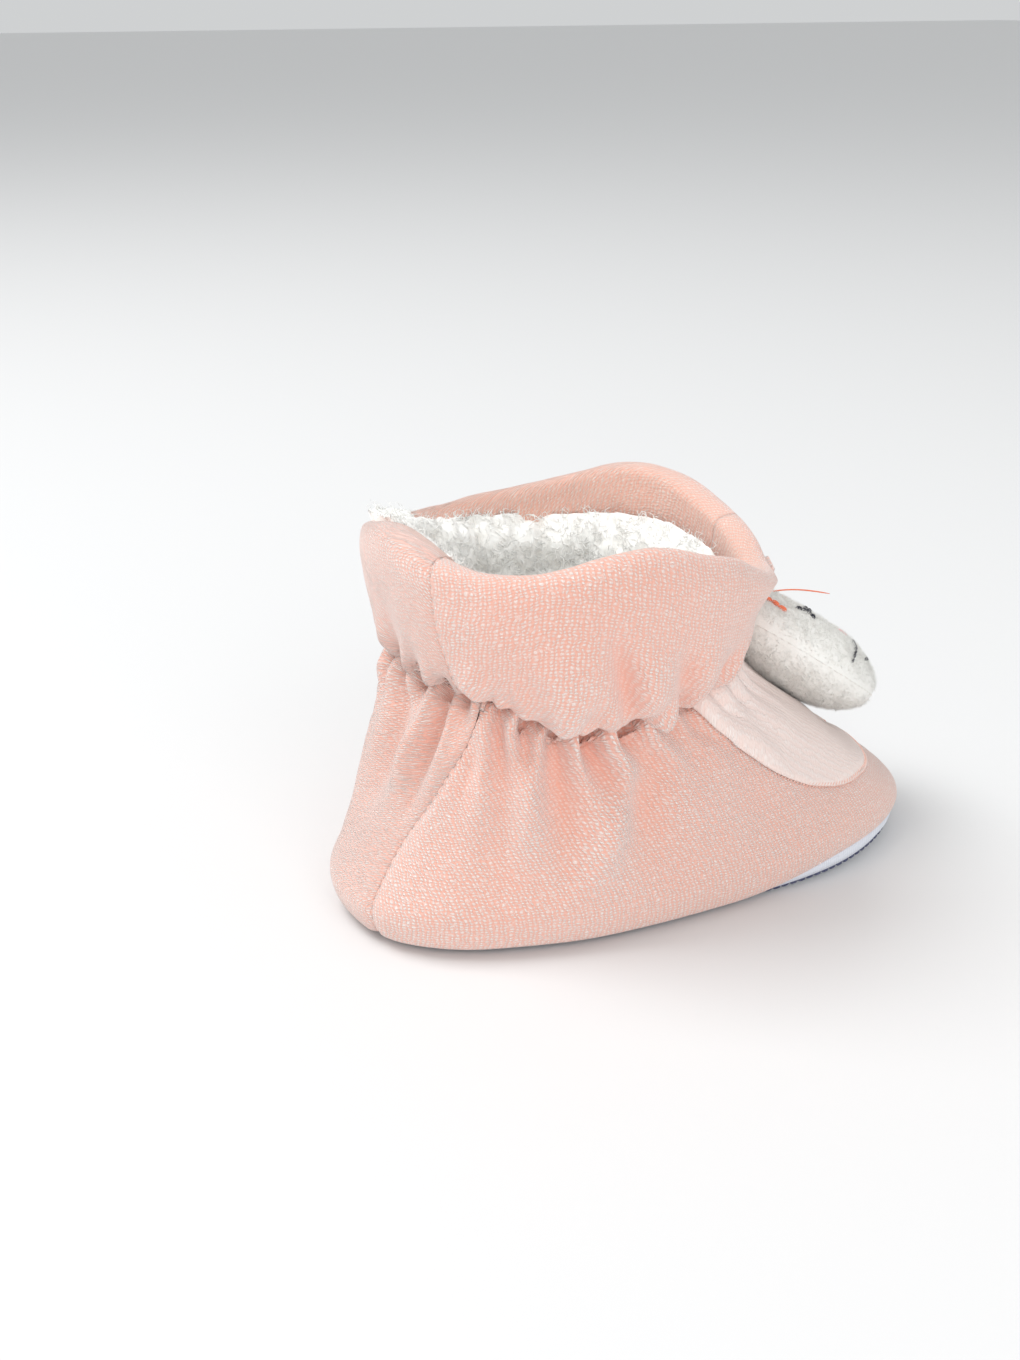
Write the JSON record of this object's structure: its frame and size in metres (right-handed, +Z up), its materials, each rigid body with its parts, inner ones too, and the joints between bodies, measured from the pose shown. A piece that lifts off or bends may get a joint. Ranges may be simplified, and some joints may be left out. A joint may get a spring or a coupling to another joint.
{
  "type": "baby bootie",
  "caption": "Soft pink baby bootie with an elasticated ankle, a flared cuff, a pile lining, an anti-slip sole and a stuffed animal's head that lifts on the instep.",
  "frame": {"origin": "on the floor, under the middle of the bootie's box", "axes": "+X from heel to toe, +Y to the wearer's left, +Z up"},
  "size_m": [0.1247, 0.0704, 0.0755],
  "materials": {
    "velour": "matte",
    "patch_velour": "matte",
    "sherpa": "matte",
    "plush": "matte",
    "stuffing": "matte",
    "sole_cloth": "matte",
    "sole_felt": "matte",
    "dot_rubber": "matte",
    "elastic": "matte",
    "pink_thread": "satin",
    "navy_thread": "satin",
    "white_thread": "satin",
    "black_thread": "satin",
    "nose_thread": "satin",
    "orange_thread": "satin"
  },
  "bodies": {
    "bootie": {"outsole": "sole_cloth", "grip_dots": "dot_rubber", "sole_seam_thread": "navy_thread", "sole_pad": "sole_felt", "footbed": "sherpa", "upper_right": "velour", "upper_left": "velour", "lining_right": "sherpa", "lining_left": "sherpa", "facing_seam_thread": "pink_thread", "ankle_elastic": "elastic", "elastic_stitching": "pink_thread", "back_seam_thread": "pink_thread", "toe_seam_thread": "pink_thread", "instep_patch": "patch_velour", "patch_stitching": "pink_thread"},
    "head": {"head_tack_thread": "white_thread", "head_face_panel": "plush", "head_back_panel": "plush", "head_stuffing": "stuffing", "head_seam_thread": "white_thread", "eye_right": "black_thread", "eye_left": "black_thread", "nose": "nose_thread", "mouth": "black_thread", "orange_stroke_right": "orange_thread", "crown_stroke": "orange_thread", "loose_thread_end": "orange_thread"}
  },
  "joints": [
    {"name": "head_lift", "type": "hinge", "parent": "bootie", "child": "head", "pos_m": [0.0179, 0, 0.0497], "axis": [0, -1, 0], "range_deg": [0, 45]}
  ]
}
